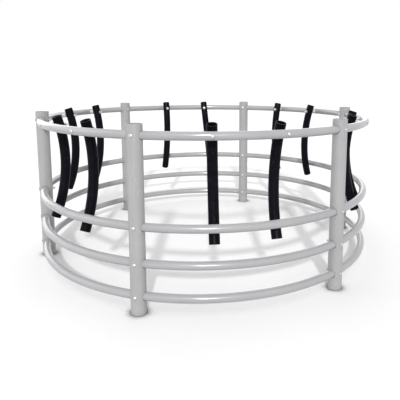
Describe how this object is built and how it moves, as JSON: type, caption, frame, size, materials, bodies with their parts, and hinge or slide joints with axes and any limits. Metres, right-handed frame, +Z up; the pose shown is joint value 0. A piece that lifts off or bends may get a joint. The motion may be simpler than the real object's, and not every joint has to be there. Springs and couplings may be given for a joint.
{
  "type": "round bale feeder",
  "caption": "Ring-shaped hay feeder of plastic pipe: upright posts carry four ring rails, and bowed dividers hang inside the top rail and swing on their bolts.",
  "frame": {"origin": "on the ground, at the centre of the ring", "axes": "+Z up; +X from the centre towards post 1, which stands at the right and rear in the picture; the posts stand every 60 degrees, counted anticlockwise from above"},
  "size_m": [2.5422, 2.49, 1.0796],
  "materials": {
    "post_plastic": "matte, slightly worn extruded pipe",
    "rail_plastic": "satin extruded pipe",
    "coupler_plastic": "matte",
    "divider_plastic": "satin extruded pipe",
    "bush_plastic": "matte",
    "zinc_steel": "bright zinc plating"
  },
  "bodies": {
    "frame": {"post_1": "post_plastic", "post_2": "post_plastic", "post_3": "post_plastic", "post_4": "post_plastic", "post_5": "post_plastic", "post_6": "post_plastic", "top_rail_1": "rail_plastic", "top_rail_2": "rail_plastic", "top_rail_3": "rail_plastic", "second_rail_1": "rail_plastic", "second_rail_2": "rail_plastic", "second_rail_3": "rail_plastic", "third_rail_1": "rail_plastic", "third_rail_2": "rail_plastic", "third_rail_3": "rail_plastic", "bottom_rail_1": "rail_plastic", "bottom_rail_2": "rail_plastic", "bottom_rail_3": "rail_plastic", "top_rail_couplers": "coupler_plastic", "second_rail_couplers": "coupler_plastic", "third_rail_couplers": "coupler_plastic", "bottom_rail_couplers": "coupler_plastic", "bush_1": "bush_plastic", "bush_2": "bush_plastic", "bush_3": "bush_plastic", "bush_4": "bush_plastic", "bush_5": "bush_plastic", "bush_6": "bush_plastic", "bush_7": "bush_plastic", "bush_8": "bush_plastic", "bush_9": "bush_plastic", "bush_10": "bush_plastic", "bush_11": "bush_plastic", "bush_12": "bush_plastic", "post_bolts": "zinc_steel", "post_washers": "zinc_steel", "post_nuts": "zinc_steel", "divider_bolts": "zinc_steel", "divider_washers": "zinc_steel", "divider_nuts": "zinc_steel", "coupler_screws": "zinc_steel"},
    "divider_1": {"divider_1": "divider_plastic"},
    "divider_2": {"divider_2": "divider_plastic"},
    "divider_3": {"divider_3": "divider_plastic"},
    "divider_4": {"divider_4": "divider_plastic"},
    "divider_5": {"divider_5": "divider_plastic"},
    "divider_6": {"divider_6": "divider_plastic"},
    "divider_7": {"divider_7": "divider_plastic"},
    "divider_8": {"divider_8": "divider_plastic"},
    "divider_9": {"divider_9": "divider_plastic"},
    "divider_10": {"divider_10": "divider_plastic"},
    "divider_11": {"divider_11": "divider_plastic"},
    "divider_12": {"divider_12": "divider_plastic"}
  },
  "joints": [
    {"name": "divider_1_swing", "type": "hinge", "parent": "frame", "child": "divider_1", "pos_m": [1.06159, 0.38639, 1.014], "axis": [0.9397, 0.342, 0], "range_deg": [-20, 10]},
    {"name": "divider_2_swing", "type": "hinge", "parent": "frame", "child": "divider_2", "pos_m": [0.86542, 0.72617, 1.014], "axis": [0.766, 0.6428, 0], "range_deg": [-16, 14]},
    {"name": "divider_3_swing", "type": "hinge", "parent": "frame", "child": "divider_3", "pos_m": [0.19617, 1.11256, 1.014], "axis": [0.1736, 0.9848, 0], "range_deg": [-9, 21]},
    {"name": "divider_4_swing", "type": "hinge", "parent": "frame", "child": "divider_4", "pos_m": [-0.19617, 1.11256, 1.014], "axis": [-0.1736, 0.9848, 0], "range_deg": [-16, 14]},
    {"name": "divider_5_swing", "type": "hinge", "parent": "frame", "child": "divider_5", "pos_m": [-0.86542, 0.72617, 1.014], "axis": [-0.766, 0.6428, 0], "range_deg": [-15, 15]},
    {"name": "divider_6_swing", "type": "hinge", "parent": "frame", "child": "divider_6", "pos_m": [-1.06159, 0.38639, 1.014], "axis": [-0.9397, 0.342, 0], "range_deg": [-13, 17]},
    {"name": "divider_7_swing", "type": "hinge", "parent": "frame", "child": "divider_7", "pos_m": [-1.06159, -0.38639, 1.014], "axis": [-0.9397, -0.342, 0], "range_deg": [-15, 15]},
    {"name": "divider_8_swing", "type": "hinge", "parent": "frame", "child": "divider_8", "pos_m": [-0.86542, -0.72617, 1.014], "axis": [-0.766, -0.6428, 0], "range_deg": [-15, 15]},
    {"name": "divider_9_swing", "type": "hinge", "parent": "frame", "child": "divider_9", "pos_m": [-0.19617, -1.11256, 1.014], "axis": [-0.1736, -0.9848, 0], "range_deg": [-16, 14]},
    {"name": "divider_10_swing", "type": "hinge", "parent": "frame", "child": "divider_10", "pos_m": [0.19617, -1.11256, 1.014], "axis": [0.1736, -0.9848, 0], "range_deg": [-12, 18]},
    {"name": "divider_11_swing", "type": "hinge", "parent": "frame", "child": "divider_11", "pos_m": [0.86542, -0.72617, 1.014], "axis": [0.766, -0.6428, 0], "range_deg": [-17, 13]},
    {"name": "divider_12_swing", "type": "hinge", "parent": "frame", "child": "divider_12", "pos_m": [1.06159, -0.38639, 1.014], "axis": [0.9397, -0.342, 0], "range_deg": [-15, 15]}
  ]
}
